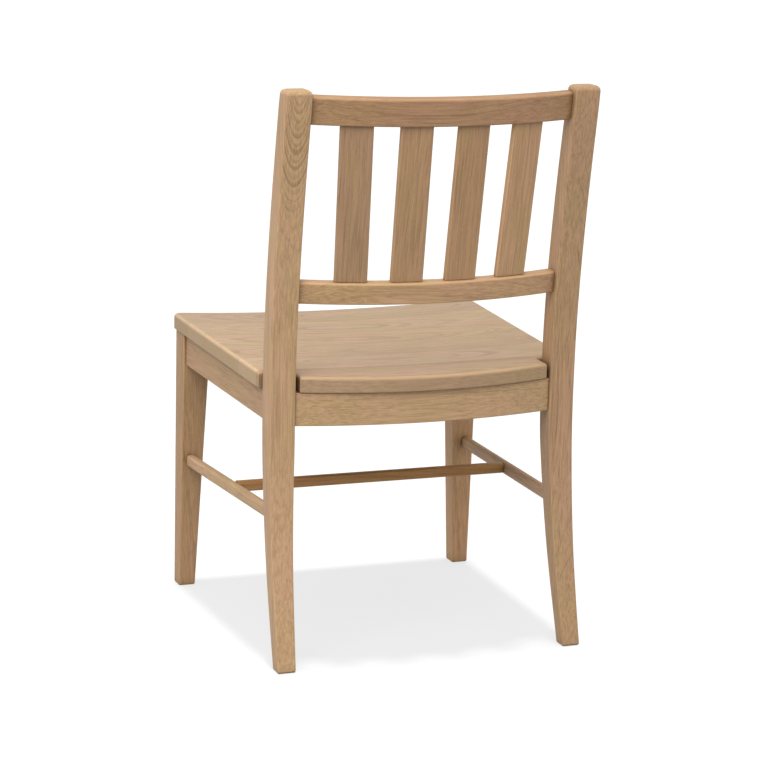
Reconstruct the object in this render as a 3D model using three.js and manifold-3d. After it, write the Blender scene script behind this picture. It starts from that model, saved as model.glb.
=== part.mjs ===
// A solid-wood dining chair: two raked rear posts, two tapered front legs, a bowed slatted back,
// a dished seat glued up from staves, aprons under it, and an H stretcher between the legs.
// Millimetres. +Z is up, the sitter faces -Y, +X is the sitter's left, and the floor is z = 0.

import * as THREE from 'three';
import { mergeVertices } from 'three/addons/utils/BufferGeometryUtils.js';
import Module from 'manifold-3d';

const wasm = await Module();
wasm.setup();

// ---------------------------------------------------------------- driving dimensions

const FIT = 0.3;                       // clearance left between two pieces that meet
const WELD = 1e-4;                     // vertices closer than this are one

// rear posts: outer faces lie in a vertical plane, front and back edges are swept
const POST_OUTER_X = 249;
const POST_WIDTH = 41;
const POST_FOOT_WIDTH = 29;
const POST_TAPER_TOP = 330;            // below this height the inner face tapers to the foot
const POST_TOP = 876;
const POST_CROWN = 10;                 // how far the crowned top falls to its edges
const POST_CROWN_INSET = 10;           // how far the crown draws in from the post's faces
const POST_CROWN_STEPS = [0.35, 0.7, 1];
const POST_STATIONS = 30;
const POST_CURVE_SAMPLES = 400;
const POST_FORWARD_Z = 425;            // height at which the front edge is furthest forward
// [height, y of the back edge, depth front to back]
const POST_PROFILE = [
  [0, 252.5, 26], [150, 216.5, 31], [300, 197.0, 35.7], [425, 194.1, 37.3],
  [550, 200.4, 37.4], [700, 218.9, 36.4], [876, 249.0, 34],
];

// front legs: outer and front faces are plumb, the two inner faces taper to the foot
const LEG_OUTER_X = 259.7;
const LEG_FRONT_Y = -260;
const LEG_TOP_SECTION = 44;
const LEG_FOOT_SECTION = 28.5;
const LEG_TAPER_TOP = 376;
const FOOT_CHAMFER = 4;

// seat
const SEAT_FRONT_Y = -265;
const SEAT_FRONT_TOP = 458;            // height of the top edge at the front corners
const SEAT_FALL = 0.032;               // drop per millimetre towards the back
const SEAT_THICK = 26;
const SEAT_HALF_FRONT = 264.3;
const SEAT_SIDE_SLOPE = 0.026;         // how fast the sides draw in towards the back
const SEAT_CORNER_RADIUS = 12;
const SEAT_NOTCH_Y = 153.6;            // where the seat is cut back round the posts
const SEAT_NOTCH_X = 201.5;
const SEAT_REAR_END_Y = 193;
const SEAT_REAR_BOW = 31;
const SEAT_DISH_FRONT = 7.7;
const SEAT_DISH_MIDDLE = 8.6;
const SEAT_DISH_REAR = 2;
const SEAT_DISH_EDGE = 4;              // the dish is cut this far past the seat's front corners
const STAVE_JOINTS = [-184, -103, -22, 60, 142];

// back: the slats and the faces of both rails follow one leaning plane, bowed backwards
const BACK_RAKE = Math.atan2(39.9, 270.5);
const BACK_REFERENCE = [190.1, 552.6]; // y and z of the lower rail's back lower edge, at its ends
const RAIL_THICK = 20;
const RAIL_BOW = 27;
const LOWER_RAIL_HEIGHT = 33.5;
const CREST_RISE = 273.4;              // from the lower rail's lower edge to the crest's, up the plane
const CREST_HEIGHT = 42.4;
const RAIL_STEPS = 24;
const RAIL_TENON = { margin: 6, overlap: 12, length: 20 };
const SLAT_COUNT = 4;
const SLAT_WIDTH = 50;
const SLAT_THICK = 10;
const SLAT_SETBACK = 6;                // from the rail's back face to the slat's
const SLAT_PITCH_LOW = 86;
const SLAT_PITCH_HIGH = 91;
const SLAT_TENON = { length: 10, shoulder: 4, cheek: 1.5 };

// aprons and stretchers
const APRON_THICK = 20;
const APRON_SETBACK = 4.5;
const APRON_LOW_FRONT = 378.4;
const SIDE_APRON_LOW_REAR = 370.4;
const REAR_APRON_LOW = 366;
const REAR_APRON_Y = 189;
const REAR_APRON_BOW = 28;
const APRON_TENON = { cheek: 5, edge: 8, overlap: 8, front: 18, side: 13, rear: 15 };
const STRETCHER_HEIGHT = 20.5;
const STRETCHER_WIDTH = 14;
const STRETCHER_LOW = 210.2;           // underside at y = 0
const STRETCHER_RISE = 0.016;          // rise per millimetre towards the back
const STRETCHER_OFFSET = { front: 4, rear: -3.5 };   // outwards from the middle of the leg and post
const STRETCHER_TENON = { cut: 3, overlap: 5, length: 12 };
const CROSS_STRETCHER_Y = -25;
const CROSS_STRETCHER_LOW = 212.8;
const CROSS_STRETCHER_HEIGHT = 17;
const CROSS_TENON = 8;                 // length of the cross stretcher's tenon, and its overlap
const CROSS_GAP = 0.5;                 // the side stretchers stand slightly askew to its ends

// corner blocks and screws
const BLOCK_HEIGHT = 30;
const RAIL_SCREW_DROP = 21;            // from the top of a block down to the screws into the aprons
const SCREW_LENGTH = 32;
const SCREW_POINT = 5;                 // length of the screw's tapered point
const SCREW_HEAD_EDGE = 0.4;           // thickness of the head at its rim
const SCREW_SIDES = 14;
const SEAT_SCREW_BITE = 12;            // how far a seat screw enters the seat
const DRIVER_HOLE = 60;                // long enough to leave any block
const SCREW_RADIUS = 2;
const SCREW_HEAD_RADIUS = 4;
const SCREW_HEAD_HEIGHT = 2.6;

// ---------------------------------------------------------------- derived sizes

const POST_INNER_X = POST_OUTER_X - POST_WIDTH;
const RAIL_HALF = POST_INNER_X - FIT;
const LEG_INNER_X = LEG_OUTER_X - LEG_TOP_SECTION;
const LEG_BACK_Y = LEG_FRONT_Y + LEG_TOP_SECTION;

const seatTopEdge = (y) => SEAT_FRONT_TOP - SEAT_FALL * (y - SEAT_FRONT_Y);
const seatUnderside = (y) => seatTopEdge(y) - SEAT_THICK;
const seatHalfWidth = (y) => SEAT_HALF_FRONT - SEAT_SIDE_SLOPE * (y - SEAT_FRONT_Y);
const bow = (x, half) => 1 - (x / half) ** 2;
const mix = (a, b, t) => a + (b - a) * t;

// levels well clear of a piece, for the blanks that it is cut from
const FLOOR = -50;
const BELOW_SEAT_BLANK = 300;
const ABOVE_SEAT_BLANK = 500;
const CLEAR_OF_CHAIR = 400;

// ---------------------------------------------------------------- solids

function toSolid(geometry) {
  let merged = geometry.clone();
  merged.deleteAttribute('normal');
  merged.deleteAttribute('uv');
  merged = mergeVertices(merged, WELD);
  return new wasm.Manifold(new wasm.Mesh({
    numProp: 3,
    vertProperties: new Float32Array(merged.attributes.position.array),
    triVerts: new Uint32Array(merged.index.array),
  }));
}

function toGeometry(solid) {
  const mesh = solid.getMesh();
  const geometry = new THREE.BufferGeometry();
  geometry.setAttribute('position', new THREE.BufferAttribute(mesh.vertProperties, 3));
  geometry.setIndex(new THREE.BufferAttribute(mesh.triVerts, 1));
  geometry.computeVertexNormals();
  return geometry;
}

// A closed solid through a row of rings with equal point counts. Each ring runs
// counter-clockwise when seen from the last ring looking back at the first.
function loft(rings) {
  const count = rings[0].length;
  const positions = rings.flat().flatMap((p) => [p[0], p[1], p[2]]);
  const index = [];
  for (let r = 0; r < rings.length - 1; r += 1) {
    for (let i = 0; i < count; i += 1) {
      const j = (i + 1) % count;
      const [a, b, c, d] = [r * count + i, r * count + j, (r + 1) * count + j, (r + 1) * count + i];
      index.push(a, b, c, a, c, d);
    }
  }
  const last = (rings.length - 1) * count;
  for (let i = 1; i < count - 1; i += 1) {
    index.push(0, i + 1, i, last, last + i, last + i + 1);
  }
  const geometry = new THREE.BufferGeometry();
  geometry.setAttribute('position', new THREE.Float32BufferAttribute(positions, 3));
  geometry.setIndex(index);
  return toSolid(geometry);
}

function box([x0, y0, z0], [x1, y1, z1]) {
  const geometry = new THREE.BoxGeometry(x1 - x0, y1 - y0, z1 - z0);
  geometry.translate((x0 + x1) / 2, (y0 + y1) / 2, (z0 + z1) / 2);
  return toSolid(geometry);
}

// a prism with the given plan outline
function prism(points, z0, z1) {
  const shape = new THREE.Shape(points.map(([x, y]) => new THREE.Vector2(x, y)));
  const geometry = new THREE.ExtrudeGeometry(shape, { depth: z1 - z0, bevelEnabled: false });
  geometry.translate(0, 0, z0);
  return toSolid(geometry);
}

// everything between two sloping levels, across the whole chair
function layer(low, high) {
  const [front, back] = [-CLEAR_OF_CHAIR, CLEAR_OF_CHAIR];
  return loft([front, back].map((x) => [
    [x, front, low(front)], [x, back, low(back)], [x, back, high(back)], [x, front, high(front)],
  ]));
}

function mirrored(solid) {
  return solid.mirror([1, 0, 0]);
}

const belowSeat = layer(() => FLOOR, (y) => seatUnderside(y) - FIT);

// ---------------------------------------------------------------- rear posts

function postCurve(column) {
  const points = POST_PROFILE.map((row) => {
    const y = column === 'back' ? row[1] : row[1] - row[2];
    return new THREE.Vector2(row[0], y);
  });
  const curve = new THREE.SplineCurve(points);
  const samples = curve.getPoints(POST_CURVE_SAMPLES);
  return (z) => {
    const after = samples.findIndex((p) => p.x >= z);
    if (after <= 0) return samples[0].y;
    const [p, q] = [samples[after - 1], samples[after]];
    return mix(p.y, q.y, (z - p.x) / (q.x - p.x));
  };
}

const postBack = postCurve('back');
const postFront = postCurve('front');
const postWidth = (z) => mix(POST_FOOT_WIDTH, POST_WIDTH, Math.min(z / POST_TAPER_TOP, 1));

function postRing(z, inset) {
  const inner = POST_OUTER_X - postWidth(z) + inset;
  const outer = POST_OUTER_X - inset;
  const [front, back] = [postFront(z) + inset, postBack(z) - inset];
  return [[inner, front, z], [outer, front, z], [outer, back, z], [inner, back, z]];
}

function rearPost() {
  const rings = [postRing(0, FOOT_CHAMFER)];
  const shoulder = POST_TOP - POST_CROWN;
  for (let i = 0; i <= POST_STATIONS; i += 1) {
    rings.push(postRing(mix(FOOT_CHAMFER, shoulder, i / POST_STATIONS), 0));
  }
  // crowned top: a quarter wave from the edges up to the middle
  for (const t of POST_CROWN_STEPS) {
    const inset = POST_CROWN_INSET * t * t;
    const z = shoulder + POST_CROWN * Math.sin((t * Math.PI) / 2);
    rings.push(postRing(Math.min(z, POST_TOP), inset));
  }
  return loft(rings);
}

// ---------------------------------------------------------------- front legs

function legRing(z, section, inset) {
  const [inner, outer] = [LEG_OUTER_X - section + inset, LEG_OUTER_X - inset];
  const [front, back] = [LEG_FRONT_Y + inset, LEG_FRONT_Y + section - inset];
  return [[inner, front, z], [outer, front, z], [outer, back, z], [inner, back, z]];
}

function frontLeg() {
  const rings = [
    legRing(0, LEG_FOOT_SECTION, FOOT_CHAMFER),
    legRing(FOOT_CHAMFER, LEG_FOOT_SECTION, 0),
    legRing(LEG_TAPER_TOP, LEG_TOP_SECTION, 0),
    legRing(SEAT_FRONT_TOP, LEG_TOP_SECTION, 0),
  ];
  return loft(rings).intersect(belowSeat);
}

// ---------------------------------------------------------------- back rails and slats

const UP = [0, Math.sin(BACK_RAKE), Math.cos(BACK_RAKE)];
const BACKWARD = [0, Math.cos(BACK_RAKE), -Math.sin(BACK_RAKE)];

// a point of the back: x, distance up the leaning plane, distance behind that plane
function backPoint(x, up, behind) {
  return [
    x,
    BACK_REFERENCE[0] + up * UP[1] + behind * BACKWARD[1],
    BACK_REFERENCE[1] + up * UP[2] + behind * BACKWARD[2],
  ];
}

const railBow = (x) => RAIL_BOW * bow(x, POST_INNER_X);

function bowedRail(low, height) {
  const rings = [];
  for (let i = 0; i <= RAIL_STEPS; i += 1) {
    const x = mix(-RAIL_HALF, RAIL_HALF, i / RAIL_STEPS);
    const back = railBow(x);
    rings.push([
      backPoint(x, low, back - RAIL_THICK), backPoint(x, low, back),
      backPoint(x, low + height, back), backPoint(x, low + height, back - RAIL_THICK),
    ]);
  }
  return loft(rings);
}

// the stub tenon on a rail's end, grown by `slack` to make its mortise
function railTenon(low, height, slack) {
  const { margin, overlap, length } = RAIL_TENON;
  const [inner, outer] = [RAIL_HALF - overlap, RAIL_HALF + length + slack];
  const [front, back] = [-RAIL_THICK + margin - slack, -margin + slack];
  const [bottom, top] = [low + margin - slack, low + height - margin + slack];
  return loft([inner, outer].map((x) => [
    backPoint(x, bottom, front), backPoint(x, bottom, back),
    backPoint(x, top, back), backPoint(x, top, front),
  ]));
}

// slats are numbered from the sitter's left; each is flat and stands square to the bow
function slat(number, slack) {
  const place = (SLAT_COUNT - 1) / 2 - number;
  const [narrow, thin] = [SLAT_TENON.shoulder - slack, SLAT_TENON.cheek - slack];
  const ends = [
    { up: LOWER_RAIL_HEIGHT, x: place * SLAT_PITCH_LOW },
    { up: CREST_RISE, x: place * SLAT_PITCH_HIGH },
  ];
  const span = ends[1].up - ends[0].up;
  const ring = (t, widthCut, faceCut) => {
    const up = ends[0].up + span * t;
    const x = mix(ends[0].x, ends[1].x, t);
    const turn = Math.atan2(2 * RAIL_BOW * x, POST_INNER_X ** 2);
    const half = SLAT_WIDTH / 2 - widthCut;
    const face = railBow(x) - SLAT_SETBACK;
    const corner = (across, depth) => backPoint(
      x + across * Math.cos(turn) + depth * Math.sin(turn), up,
      face - across * Math.sin(turn) + depth * Math.cos(turn),
    );
    return [
      corner(-half, -SLAT_THICK + faceCut), corner(half, -SLAT_THICK + faceCut),
      corner(half, -faceCut), corner(-half, -faceCut),
    ];
  };
  const gap = FIT / span;
  const reach = (SLAT_TENON.length + slack) / span;
  if (slack > 0) {
    const rings = [-reach, gap, 1 - gap, 1 + reach].map((t) => ring(t, narrow, thin));
    return loft(rings);
  }
  return loft([
    ring(-reach, narrow, thin), ring(gap, narrow, thin), ring(gap, 0, 0),
    ring(1 - gap, 0, 0), ring(1 - gap, narrow, thin), ring(1 + reach, narrow, thin),
  ]);
}

// ---------------------------------------------------------------- seat

function seatOutline() {
  const points = [];
  const r = SEAT_CORNER_RADIUS;
  const [frontSteps, rearSteps] = [6, 20];
  const cornerX = seatHalfWidth(SEAT_FRONT_Y) - r;
  for (let i = 0; i <= frontSteps; i += 1) {
    const angle = (i / frontSteps) * (Math.PI / 2);
    points.push([cornerX + r * Math.sin(angle), SEAT_FRONT_Y + r - r * Math.cos(angle)]);
  }
  points.push([seatHalfWidth(SEAT_NOTCH_Y), SEAT_NOTCH_Y], [SEAT_NOTCH_X, SEAT_NOTCH_Y]);
  for (let i = 0; i < rearSteps / 2; i += 1) {
    const x = mix(SEAT_NOTCH_X, 0, (2 * i) / rearSteps);
    points.push([x, SEAT_REAR_END_Y + SEAT_REAR_BOW * bow(x, SEAT_NOTCH_X)]);
  }
  const other = points.map(([x, y]) => [-x, y]).reverse();
  return [...points, [0, SEAT_REAR_END_Y + SEAT_REAR_BOW], ...other];
}

function seatDish(y) {
  const t = (y - SEAT_FRONT_Y) / (SEAT_REAR_END_Y - SEAT_FRONT_Y);
  const straight = mix(SEAT_DISH_FRONT, SEAT_DISH_REAR, t);
  const sag = SEAT_DISH_MIDDLE - (SEAT_DISH_FRONT + SEAT_DISH_REAR) / 2;
  return straight + sag * 4 * t * (1 - t);
}

function seatBlank() {
  const [across, rows, margin] = [22, 9, 20];
  const [front, back] = [SEAT_FRONT_Y - margin, SEAT_REAR_END_Y + SEAT_REAR_BOW + margin];
  const half = SEAT_HALF_FRONT + SEAT_DISH_EDGE;
  const rings = [];
  for (let r = 0; r <= rows; r += 1) {
    const y = mix(back, front, r / rows);
    const depth = seatDish(Math.min(Math.max(y, SEAT_FRONT_Y), SEAT_REAR_END_Y));
    const ring = [[-half, y, BELOW_SEAT_BLANK], [half, y, BELOW_SEAT_BLANK]];
    for (let i = 0; i <= across; i += 1) {
      const x = mix(half, -half, i / across);
      const dish = depth * Math.max(bow(x, seatHalfWidth(y)), 0);
      ring.push([x, y, seatTopEdge(y) - dish]);
    }
    rings.push(ring);
  }
  const outline = prism(seatOutline(), BELOW_SEAT_BLANK, ABOVE_SEAT_BLANK);
  return loft(rings).intersect(outline).intersect(layer(seatUnderside, () => ABOVE_SEAT_BLANK));
}

function seatStave(blank, number) {
  const edges = [-CLEAR_OF_CHAIR, ...STAVE_JOINTS, CLEAR_OF_CHAIR];
  const [front, back] = [edges[number] + FIT / 2, edges[number + 1] - FIT / 2];
  return blank.intersect(box(
    [-CLEAR_OF_CHAIR, front, BELOW_SEAT_BLANK], [CLEAR_OF_CHAIR, back, ABOVE_SEAT_BLANK],
  ));
}

// ---------------------------------------------------------------- aprons

// x of a side apron's outer face at a given y
function sideApronFace(y) {
  const t = (y - LEG_BACK_Y) / (SEAT_NOTCH_Y - LEG_BACK_Y);
  return mix(LEG_OUTER_X, POST_OUTER_X, t) - APRON_SETBACK;
}

function sideApronRing(y, cut, low, high) {
  const outer = sideApronFace(y) - cut;
  const inner = sideApronFace(y) - APRON_THICK + cut;
  return [[inner, y, low], [inner, y, high], [outer, y, high], [outer, y, low]];
}

const sideApronLow = (y) => {
  const t = (y - LEG_BACK_Y) / (SEAT_NOTCH_Y - LEG_BACK_Y);
  return mix(APRON_LOW_FRONT, SIDE_APRON_LOW_REAR, t);
};

const SIDE_APRON_REAR = postFront(POST_FORWARD_Z) - FIT;

function sideApronTenons(slack) {
  const { cheek, edge, overlap, front, side } = APRON_TENON;
  const stub = (y0, y1) => loft([y0, y1].map((y) => sideApronRing(
    y, cheek - slack, sideApronLow(y) + edge - slack, seatUnderside(y) - edge + slack,
  )));
  return [
    stub(LEG_BACK_Y - front - slack, LEG_BACK_Y + overlap),
    stub(SIDE_APRON_REAR - overlap, SIDE_APRON_REAR + side + slack),
  ];
}

function sideApron() {
  const [front, rear] = [LEG_BACK_Y + FIT, SIDE_APRON_REAR];
  const body = loft([front, rear].map((y) => sideApronRing(y, 0, sideApronLow(y), SEAT_FRONT_TOP)));
  const [frontStub, rearStub] = sideApronTenons(0);
  return body.intersect(belowSeat).add(frontStub).add(rearStub);
}

function frontApronTenon(slack) {
  const { cheek, edge, overlap, front } = APRON_TENON;
  const y = LEG_FRONT_Y + APRON_SETBACK;
  return box(
    [LEG_INNER_X - overlap, y + cheek - slack, APRON_LOW_FRONT + edge - slack],
    [LEG_INNER_X + front + slack, y + APRON_THICK - cheek + slack, seatUnderside(y) - edge + slack],
  );
}

function frontApron() {
  const y = LEG_FRONT_Y + APRON_SETBACK;
  const half = LEG_INNER_X - FIT;
  const body = box([-half, y, APRON_LOW_FRONT], [half, y + APRON_THICK, SEAT_FRONT_TOP]);
  const stub = frontApronTenon(0);
  return body.intersect(belowSeat).add(stub).add(mirrored(stub));
}

const rearApronFace = (x) => REAR_APRON_Y + REAR_APRON_BOW * bow(x, POST_INNER_X);

function rearApronTenon(slack) {
  const { cheek, edge, overlap, rear } = APRON_TENON;
  const [front, back] = [REAR_APRON_Y - APRON_THICK + cheek - slack, REAR_APRON_Y - cheek + slack];
  return box(
    [RAIL_HALF - overlap, front, REAR_APRON_LOW + edge - slack],
    [POST_INNER_X + rear + slack, back, seatUnderside(REAR_APRON_Y) - edge + slack],
  );
}

function rearApron() {
  const rings = [];
  for (let i = 0; i <= RAIL_STEPS; i += 1) {
    const x = mix(-RAIL_HALF, RAIL_HALF, i / RAIL_STEPS);
    const back = rearApronFace(x);
    const front = back - APRON_THICK;
    rings.push([
      [x, front, REAR_APRON_LOW], [x, back, REAR_APRON_LOW],
      [x, back, SEAT_FRONT_TOP], [x, front, SEAT_FRONT_TOP],
    ]);
  }
  const stub = rearApronTenon(0);
  return loft(rings).intersect(belowSeat).add(stub).add(mirrored(stub));
}

// ---------------------------------------------------------------- stretchers

const stretcherLow = (y) => STRETCHER_LOW + STRETCHER_RISE * y;
const STRETCHER_MID = STRETCHER_LOW + STRETCHER_HEIGHT / 2;

// both the leg and the post lean into the stretcher's end, most of all at its upper edge
const STRETCHER_UPPER = STRETCHER_LOW + STRETCHER_HEIGHT - STRETCHER_RISE * SEAT_FRONT_Y;
const legSectionAt = (z) => mix(LEG_FOOT_SECTION, LEG_TOP_SECTION, z / LEG_TAPER_TOP);
const STRETCHER_FRONT_Y = LEG_FRONT_Y + legSectionAt(STRETCHER_UPPER) + FIT;
const STRETCHER_REAR_Y = postFront(STRETCHER_UPPER) - FIT;

function stretcherCentre(y) {
  const front = LEG_OUTER_X - legSectionAt(STRETCHER_MID) / 2 + STRETCHER_OFFSET.front;
  const rear = POST_OUTER_X - postWidth(STRETCHER_MID) / 2 + STRETCHER_OFFSET.rear;
  return mix(front, rear, (y - STRETCHER_FRONT_Y) / (STRETCHER_REAR_Y - STRETCHER_FRONT_Y));
}

function sideStretcherRing(y, cut) {
  const centre = stretcherCentre(y);
  const [inner, outer] = [centre - STRETCHER_WIDTH / 2, centre + STRETCHER_WIDTH / 2];
  const [low, high] = [stretcherLow(y) + cut, stretcherLow(y) + STRETCHER_HEIGHT - cut];
  return [
    [inner + cut, y, low], [inner + cut, y, high],
    [outer - cut, y, high], [outer - cut, y, low],
  ];
}

function sideStretcherTenons(slack) {
  const { cut, overlap, length } = STRETCHER_TENON;
  const stub = (y0, y1) => loft([y0, y1].map((y) => sideStretcherRing(y, cut - slack)));
  return [
    stub(STRETCHER_FRONT_Y - length - slack, STRETCHER_FRONT_Y + overlap),
    stub(STRETCHER_REAR_Y - overlap, STRETCHER_REAR_Y + length + slack),
  ];
}

function sideStretcher() {
  const body = loft([STRETCHER_FRONT_Y, STRETCHER_REAR_Y].map((y) => sideStretcherRing(y, 0)));
  const [front, rear] = sideStretcherTenons(0);
  return body.add(front).add(rear);
}

const CROSS_HALF = stretcherCentre(CROSS_STRETCHER_Y) - STRETCHER_WIDTH / 2;

function crossStretcherTenon(slack) {
  const cut = STRETCHER_TENON.cut - slack;
  const half = STRETCHER_WIDTH / 2 - cut;
  const [low, high] = [CROSS_STRETCHER_LOW + cut, CROSS_STRETCHER_LOW + CROSS_STRETCHER_HEIGHT - cut];
  return box(
    [CROSS_HALF - CROSS_TENON, CROSS_STRETCHER_Y - half, low],
    [CROSS_HALF + CROSS_TENON + slack, CROSS_STRETCHER_Y + half, high],
  );
}

function crossStretcher() {
  const half = CROSS_HALF - CROSS_GAP;
  const body = box(
    [-half, CROSS_STRETCHER_Y - STRETCHER_WIDTH / 2, CROSS_STRETCHER_LOW],
    [half, CROSS_STRETCHER_Y + STRETCHER_WIDTH / 2, CROSS_STRETCHER_LOW + CROSS_STRETCHER_HEIGHT],
  );
  const stub = crossStretcherTenon(0);
  return body.add(stub).add(mirrored(stub));
}

// ---------------------------------------------------------------- corner blocks and screws

// a countersunk wood screw along +Z from the top of its head, grown by `slack` for its hole
function screwSolid(slack) {
  const r = SCREW_RADIUS + slack;
  const head = SCREW_HEAD_RADIUS + slack;
  const profile = [
    [0, -slack], [head, -slack], [head, SCREW_HEAD_EDGE], [r, SCREW_HEAD_HEIGHT + slack],
    [r, SCREW_LENGTH - SCREW_POINT], [0, SCREW_LENGTH + slack],
  ].map(([x, z]) => new THREE.Vector2(x, -z)).reverse();
  const geometry = new THREE.LatheGeometry(profile, SCREW_SIDES);
  geometry.rotateX(-Math.PI / 2);
  return toSolid(geometry);
}

// a solid that points along +Z, moved to its place and turned to its direction
function placed(solid, head, direction) {
  const turn = new THREE.Quaternion().setFromUnitVectors(
    new THREE.Vector3(0, 0, 1), new THREE.Vector3(...direction).normalize(),
  );
  const matrix = new THREE.Matrix4().compose(
    new THREE.Vector3(...head), turn, new THREE.Vector3(1, 1, 1),
  );
  return solid.transform([...matrix.elements]);
}

const blockTop = (y) => seatUnderside(y) - FIT;
const blockSide = (y) => sideApronFace(y) - APRON_THICK - FIT;

// plans of the left-hand blocks; each fills the corner between two aprons and a leg or post
const BLOCK_ENDS = { front: [152, -160], rear: [150, 98] };
const BLOCK_RELIEF = 1;                // between a block and the corner of the leg or post

function frontBlockPlan() {
  const [x, y] = BLOCK_ENDS.front;
  const rear = LEG_FRONT_Y + APRON_SETBACK + APRON_THICK + FIT;
  const corner = [LEG_INNER_X - BLOCK_RELIEF, LEG_BACK_Y + BLOCK_RELIEF];
  return [
    [x, rear], [corner[0], rear], corner,
    [blockSide(corner[1]), corner[1]], [blockSide(y), y],
  ];
}

function rearBlockPlan() {
  const [x, y] = BLOCK_ENDS.rear;
  const inside = (at) => rearApronFace(at) - APRON_THICK - FIT;
  const corner = [POST_INNER_X - BLOCK_RELIEF, SIDE_APRON_REAR - BLOCK_RELIEF];
  return [
    [blockSide(y), y], [blockSide(corner[1]), corner[1]], corner,
    [corner[0], inside(corner[0])], [x, inside(x)],
  ];
}

// heads of each block's two screws into the aprons, and the way they are driven
const BLOCK_SCREWS = {
  front: [
    { head: [184, -217], direction: [0, -1] },
    { head: [212, -188], direction: [1, 0] },
  ],
  rear: [
    { head: [206, 126], direction: [1, 0] },
    { head: [181, 157], direction: [0, 1] },
  ],
};
// x and y of the screw up into the seat
const SEAT_SCREWS = { front: [198, -202], rear: [194, 138] };

function screwsOf(corner) {
  const level = blockTop(BLOCK_SCREWS[corner][0].head[1]) - RAIL_SCREW_DROP;
  const rail = BLOCK_SCREWS[corner].map(({ head, direction }) => ({
    head: [head[0], head[1], level], direction: [direction[0], direction[1], 0],
  }));
  const [x, y] = SEAT_SCREWS[corner];
  const low = blockTop(y) - SCREW_LENGTH + SEAT_SCREW_BITE;
  return [...rail, { head: [x, y, low], direction: [0, 0, 1] }];
}

// room for the driver: a straight hole behind each screw head
function driverHole({ head, direction }) {
  const radius = SCREW_HEAD_RADIUS + FIT;
  const geometry = new THREE.CylinderGeometry(radius, radius, DRIVER_HOLE, SCREW_SIDES);
  geometry.rotateX(Math.PI / 2);
  geometry.translate(0, 0, -DRIVER_HOLE / 2);
  return placed(toSolid(geometry), head, direction);
}

function cornerBlock(corner) {
  const plan = corner === 'front' ? frontBlockPlan() : rearBlockPlan();
  const drop = layer((y) => blockTop(y) - BLOCK_HEIGHT, blockTop);
  let block = prism(plan, BELOW_SEAT_BLANK, ABOVE_SEAT_BLANK).intersect(drop);
  for (const screw of screwsOf(corner)) {
    block = block.subtract(placed(screwSolid(FIT), screw.head, screw.direction));
    block = block.subtract(driverHole(screw));
  }
  return block;
}

// ---------------------------------------------------------------- assembly

const wood = (color, roughness = 0.55) => () => new THREE.MeshStandardMaterial({
  color, roughness, metalness: 0,
});
const FINISH = {
  frame: wood(0xb8936b),
  back: wood(0xa98560),
  seat: wood(0xcaa98a, 0.5),
  block: wood(0xc3a57f, 0.75),
  screw: () => new THREE.MeshStandardMaterial({ color: 0xa9abad, roughness: 0.35, metalness: 1 }),
};

// moves the chair so that its own box is centred on the origin, front to back
const CREST_BACK_Y = backPoint(0, CREST_RISE + CREST_HEIGHT, RAIL_BOW)[1];
const CENTRING = -(SEAT_FRONT_Y + CREST_BACK_Y) / 2;

const chair = new THREE.Group();
const groups = {};

function addPart(group, name, solid, finish) {
  if (!groups[group]) {
    groups[group] = new THREE.Group();
    chair.add(groups[group]);
  }
  const mesh = new THREE.Mesh(toGeometry(solid.translate([0, CENTRING, 0])), finish());
  mesh.name = name;
  groups[group].add(mesh);
}

function addPair(group, name, solid, finish) {
  addPart(group, `${name}_left`, solid, finish);
  addPart(group, `${name}_right`, mirrored(solid), finish);
}

function cutAll(solid, cutters) {
  return cutters.reduce((left, cutter) => left.subtract(cutter), solid);
}

const CREST = [CREST_RISE, CREST_HEIGHT];
const LOWER = [0, LOWER_RAIL_HEIGHT];
const apronSockets = sideApronTenons(FIT);
const stretcherSockets = sideStretcherTenons(FIT);

const post = cutAll(rearPost(), [
  railTenon(...CREST, FIT), railTenon(...LOWER, FIT), rearApronTenon(FIT),
  apronSockets[1], stretcherSockets[1],
]);
const leg = cutAll(frontLeg(), [frontApronTenon(FIT), apronSockets[0], stretcherSockets[0]]);
addPair('frame', 'rear_post', post, FINISH.frame);
addPair('frame', 'front_leg', leg, FINISH.frame);

const slatNumbers = [...Array(SLAT_COUNT).keys()];
const slatSockets = slatNumbers.map((n) => slat(n, FIT));
for (const [name, size] of [['crest_rail', CREST], ['lower_back_rail', LOWER]]) {
  const stub = railTenon(...size, 0);
  const rail = bowedRail(...size).add(stub).add(mirrored(stub));
  addPart('back', name, cutAll(rail, slatSockets), FINISH.back);
}
for (const n of slatNumbers) {
  addPart('back', `back_slat_${n + 1}`, slat(n, 0), FINISH.back);
}

const screws = { front: screwsOf('front'), rear: screwsOf('rear') };
const allScrews = [...screws.front, ...screws.rear];
const screwHoles = allScrews.map((s) => placed(screwSolid(FIT), s.head, s.direction));
const bothSides = [...screwHoles, ...screwHoles.map(mirrored)];

const blank = cutAll(seatBlank(), bothSides);
for (let n = 0; n <= STAVE_JOINTS.length; n += 1) {
  addPart('seat', `seat_stave_${n + 1}`, seatStave(blank, n), FINISH.seat);
}

addPart('frame', 'front_apron', cutAll(frontApron(), bothSides), FINISH.frame);
addPart('frame', 'rear_apron', cutAll(rearApron(), bothSides), FINISH.frame);
addPair('frame', 'side_apron', cutAll(sideApron(), screwHoles), FINISH.frame);

const crossSocket = crossStretcherTenon(FIT);
addPair('frame', 'side_stretcher', sideStretcher().subtract(crossSocket), FINISH.frame);
addPart('frame', 'cross_stretcher', crossStretcher(), FINISH.frame);

for (const corner of ['front', 'rear']) {
  addPair('frame', `${corner}_corner_block`, cornerBlock(corner), FINISH.block);
  screws[corner].forEach((s, i) => {
    const name = i < 2 ? `${corner}_block_screw_${i + 1}` : `${corner}_seat_screw`;
    addPair('fasteners', name, placed(screwSolid(0), s.head, s.direction), FINISH.screw);
  });
}

export default chair;
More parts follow.
